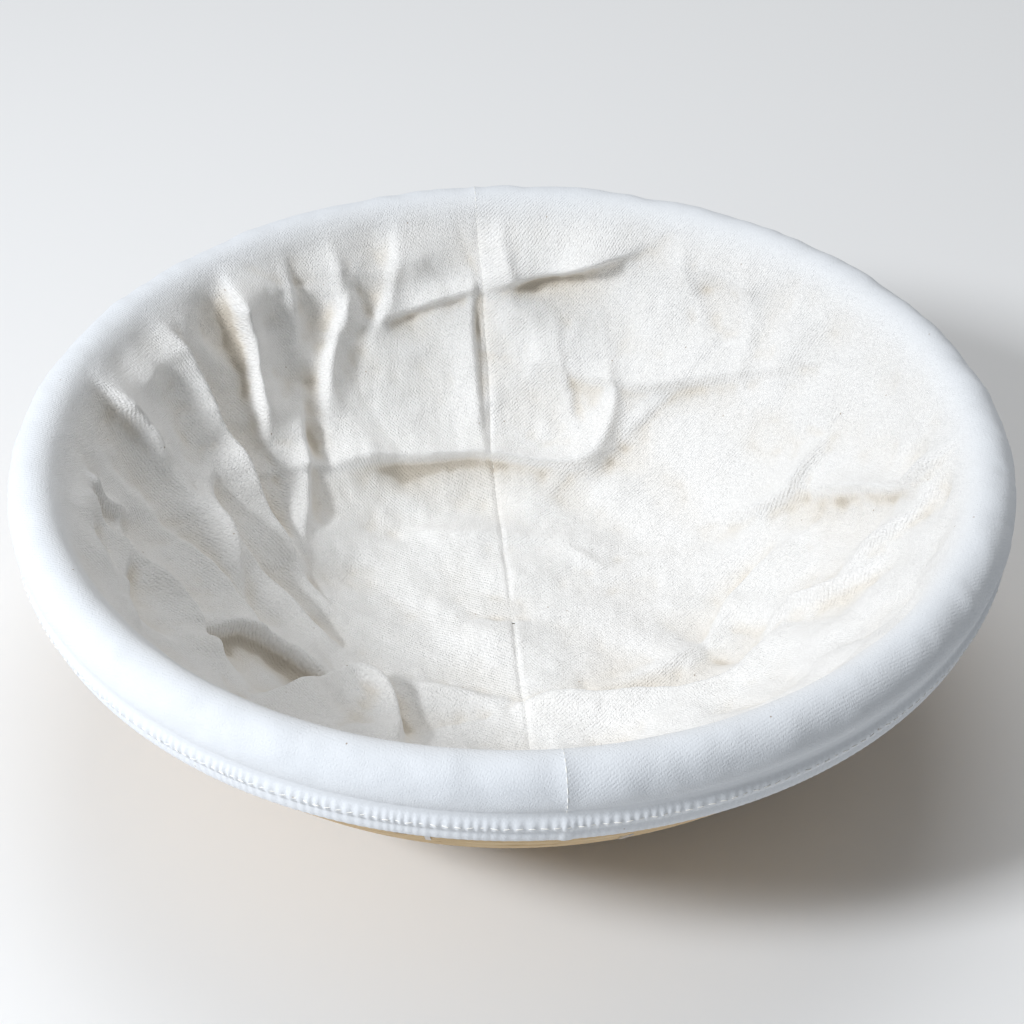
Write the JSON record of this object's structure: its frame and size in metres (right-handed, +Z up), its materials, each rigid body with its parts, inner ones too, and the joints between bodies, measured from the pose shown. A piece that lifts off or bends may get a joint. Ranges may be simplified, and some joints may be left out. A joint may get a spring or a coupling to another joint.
{
  "type": "proofing basket",
  "caption": "Round shallow proofing basket of coiled cane with a fitted cotton liner that rolls over the rim and is held by an elastic hem.",
  "frame": {"origin": "centre of the base, on the surface the basket stands on", "axes": "+Z up along the bowl's axis; the liner's seam runs along Y, and -Y is the front"},
  "size_m": [0.2218, 0.2226, 0.0701],
  "materials": {
    "cane": "matt peeled cane",
    "staple_steel": "bright wire",
    "cotton": "unbleached woven cotton",
    "thread": "cotton sewing thread",
    "elastic": "white braided elastic"
  },
  "bodies": {
    "basket": {"rim_course": "cane", "wall_course_1": "cane", "wall_course_2": "cane", "wall_course_3": "cane", "wall_course_4": "cane", "wall_course_5": "cane", "wall_course_6": "cane", "wall_course_7": "cane", "wall_course_8": "cane", "base_ring": "cane", "base_spiral": "cane", "wall_staples": "staple_steel", "base_staples": "staple_steel", "scarf_pins": "staple_steel"},
    "liner": {"liner_left_panel": "cotton", "liner_right_panel": "cotton", "seam_thread": "thread", "hem_casing": "cotton", "hem_elastic": "elastic", "hem_thread": "thread"}
  },
  "joints": [
    {"name": "liner_lift", "type": "slide", "parent": "basket", "child": "liner", "axis": [0, 0, 1], "range_m": [0, 0.1], "deforming": ["hem_casing", "hem_elastic", "hem_thread"]}
  ]
}
